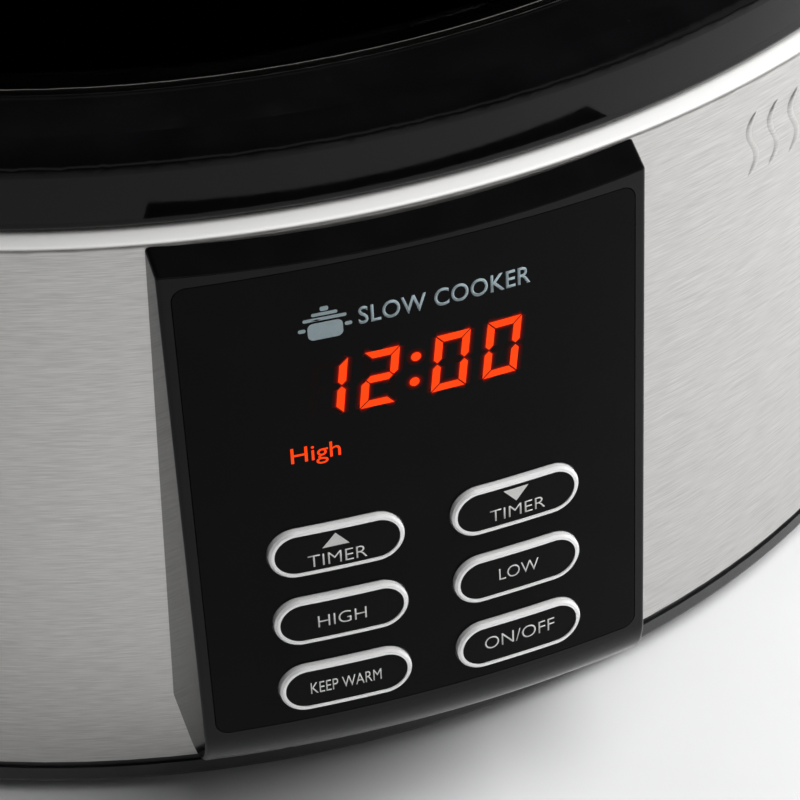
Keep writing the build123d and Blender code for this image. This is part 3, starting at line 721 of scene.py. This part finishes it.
# %% Haze
def grown(outline, by):
    """The outline pushed outward all round by so many mm."""
    corners = [Vector(p) for p in outline]
    area = sum(a.x * b.y - b.x * a.y for a, b in zip(corners, corners[1:] + corners[:1]))
    side = 1 if area > 0 else -1
    result = []
    for i, p in enumerate(corners):
        before, after = corners[i - 1], corners[(i + 1) % len(corners)]
        for edge in ((p - before).normalized(), (after - p).normalized()):
            result.append(p + Vector((edge.y, -edge.x)) * side * by)
    return [tuple(p) for p in result]


HAZE = ((0.28, 0.20), (0.60, 0.055), (1.05, 0.018))
HAZE_FILM, HAZE_THINNER = 0.010, 0.002
for ring, (by, power) in enumerate(HAZE):
    haze = ink(f"haze_{ring}", (0.002, 0.0005, 0.0005), (0.003, 0.0005, 0.0005), 0.06, 0.1, shine=0.06,
               glow=(1.0, 0.015, 0.0, 1), glow_power=power)
    haze_sheet = flat_drawing([grown(outline, by) for outline in lit_bars])
    film = HAZE_FILM - HAZE_THINNER * ring
    lay_on(f"clock_haze_{ring}", haze_sheet, "faceplate", haze, film)
print("haze in", len(HAZE), "steps")

# %% [markdown]
# ## Steam waves pressed into the shell
#
# Beside the panel the steel carries a small pressed sign: three upright waves, for steam. A pressed
# line is a low rounded ridge. Each is built as a strip that follows a wave over the shell's own
# surface, seven points wide, highest in the middle and running into the steel at its edges.

# %% Waves
WAVE = {
    "middle": 93.0, "apart": 6.0, "low": 151.0, "high": 170.0, "swing": 1.6, "wide": 1.7, "proud": 0.45,
}
WAVE_STEPS = 48
HALF_ROW = 3
TIP_WIDTH = 0.35
TAPER_RATE = 8
SUNK = 0.02
BEFORE_SHELL = -0.3


def wave_ridge(name, x_middle):
    """One upright wave on the shell's front right, as a ridge."""
    shell = surface_of("outer_wrap")
    ridge = bmesh.new()
    rows = []
    for i in range(WAVE_STEPS + 1):
        part = i / WAVE_STEPS
        z = WAVE["low"] + (WAVE["high"] - WAVE["low"]) * part
        x = x_middle + WAVE["swing"] * math.sin(part * 2 * math.pi)
        taper = min(1.0, TAPER_RATE * part, TAPER_RATE * (1 - part)) ** 0.5 if 0 < part < 1 else 0.0
        row = []
        for k in range(-HALF_ROW, HALF_ROW + 1):
            share = k / HALF_ROW
            side = x + share * WAVE["wide"] / 2 * (TIP_WIDTH + (1 - TIP_WIDTH) * taper)
            start = Vector((side * MM, BEFORE_SHELL, z * MM))
            hit, normal = shell.ray_cast(start, Vector((0, 1, 0)))[:2]
            rise = WAVE["proud"] * taper * (1 - share * share) - SUNK
            row.append(ridge.verts.new(hit + normal * rise * MM))
        rows.append(row)
    for one, two in zip(rows, rows[1:]):
        for k in range(2 * HALF_ROW):
            ridge.faces.new((one[k], one[k + 1], two[k + 1], two[k])).smooth = True
    bmesh.ops.recalc_face_normals(ridge, faces=ridge.faces)
    mesh = bpy.data.meshes.new(name)
    ridge.to_mesh(mesh)
    ridge.free()
    obj = bpy.data.objects.new(name, mesh)
    bpy.context.scene.collection.objects.link(obj)
    wear(obj, brushed_shell)
    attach(obj, "base")


for number in range(3):
    wave_ridge(f"steam_wave_{number}", WAVE["middle"] + (number - 1) * WAVE["apart"])
print("three steam waves pressed")

# %% [markdown]
# ## The studio
#
# A pale floor and soft light show the shape best. Steel and gloss show nothing but reflections, so
# the room matters as much as the lamps. It is dark overhead, which keeps the panel, the glaze and the
# lid black, and brighter low down on the right. A soft pale band near the horizon runs all round, so
# every rounded rim carries one thin highlight. The lamps themselves are hidden from gloss and glass.

# %% Floor
FLOOR_RADIUS = 4.0
floor_mesh = bpy.data.meshes.new("floor")
floor_sheet = bmesh.new()
bmesh.ops.create_circle(floor_sheet, cap_ends=True, radius=FLOOR_RADIUS, segments=96)
floor_sheet.to_mesh(floor_mesh)
floor_sheet.free()
floor = bpy.data.objects.new("floor", floor_mesh)
bpy.context.scene.collection.objects.link(floor)
floor_paint = start_finish("floor_paint", shine=0.2)
floor_clouds = clouds(floor_paint, 90.0)
tint(floor_paint, floor_clouds, (0.75, 0.755, 0.765), (0.79, 0.795, 0.805))
polish(floor_paint, clouds(floor_paint, 4.0), 0.5, 0.6)
wear(floor, floor_paint)

# %% The room's own light
room = bpy.data.worlds.new("room")
bpy.context.scene.world = room
room.use_nodes = True
room_tree = room.node_tree
sky = room_tree.nodes["Background"]


def room_node(kind):
    return room_tree.nodes.new("ShaderNode" + kind)


def band(value, start, end, low, high):
    """A soft step from low to high between two values."""
    step = room_node("MapRange")
    step.interpolation_type = "SMOOTHSTEP"
    for socket, number in zip(("From Min", "From Max", "To Min", "To Max"), (start, end, low, high)):
        step.inputs[socket].default_value = number
    room_tree.links.new(value, step.inputs["Value"])
    return step.outputs["Result"]


def combine(one, two, how):
    sum_node = room_node("Math")
    sum_node.operation = how
    room_tree.links.new(one, sum_node.inputs[0])
    room_tree.links.new(two, sum_node.inputs[1])
    return sum_node.outputs["Value"]


look_way = room_node("TexCoord")
parts_of = room_node("SeparateXYZ")
room_tree.links.new(look_way.outputs["Generated"], parts_of.inputs["Vector"])
to_right = band(parts_of.outputs["X"], 0.5, 0.9, 0.01, 0.6)
below_top = band(parts_of.outputs["Z"], 0.3, 0.5, 1.0, 0.02)
right_side = combine(to_right, below_top, "MULTIPLY")
horizon_low = band(parts_of.outputs["Z"], 0.04, 0.12, 0.0, 0.55)
horizon_high = band(parts_of.outputs["Z"], 0.2, 0.32, 1.0, 0.0)
horizon = combine(horizon_low, horizon_high, "MULTIPLY")
room_tree.links.new(combine(right_side, horizon, "MAXIMUM"), sky.inputs["Strength"])
sky.inputs["Color"].default_value = (1.0, 0.985, 0.965, 1)


# %% Lamps
LAMP_COLOUR = (1, 0.995, 0.99)


def soft_box(name, place, aim, width, height, power):
    """A flat soft light that faces a point; gloss and glass don't show it."""
    lamp = bpy.data.lights.new(name, "AREA")
    lamp.shape = "RECTANGLE"
    lamp.size, lamp.size_y = width, height
    lamp.energy = power
    lamp.color = LAMP_COLOUR
    obj = bpy.data.objects.new(name, lamp)
    obj.location = place
    obj.rotation_euler = (Vector(aim) - Vector(place)).to_track_quat("-Z", "Y").to_euler()
    obj.visible_glossy = False
    obj.visible_transmission = False
    bpy.context.scene.collection.objects.link(obj)


centre = (cad_box[0] + cad_box[1]) / 2
soft_box("window_right", (0.95, -0.05, 0.62), centre, 0.7, 0.7, 12)
soft_box("window_back", (0.7, 1.7, 1.25), centre, 2.2, 1.0, 12)
soft_box("overhead", (0.26, -0.36, 0.90), (0.1, -0.2, 0.0), 0.7, 0.7, 6.2)

# %% [markdown]
# ## The camera
#
# The camera stands in front and to the left, above the cooker, and looks down at about 45 degrees
# with a long lens, close enough that the panel fills much of the view.

# %% Camera
eye = bpy.data.cameras.new("eye")
eye.sensor_width = 36
eye.lens = 141.09
eye.shift_x = -0.0207
eye.shift_y = -0.0053
eye.clip_start = 0.02
camera = bpy.data.objects.new("eye", eye)
camera.location = (-0.16313, -0.58439, 0.61166)
camera.rotation_euler = [math.radians(a) for a in (44.589, -0.792, -19.482)]
bpy.context.scene.collection.objects.link(camera)
bpy.context.scene.camera = camera
bpy.context.scene.view_settings.view_transform = "Standard"
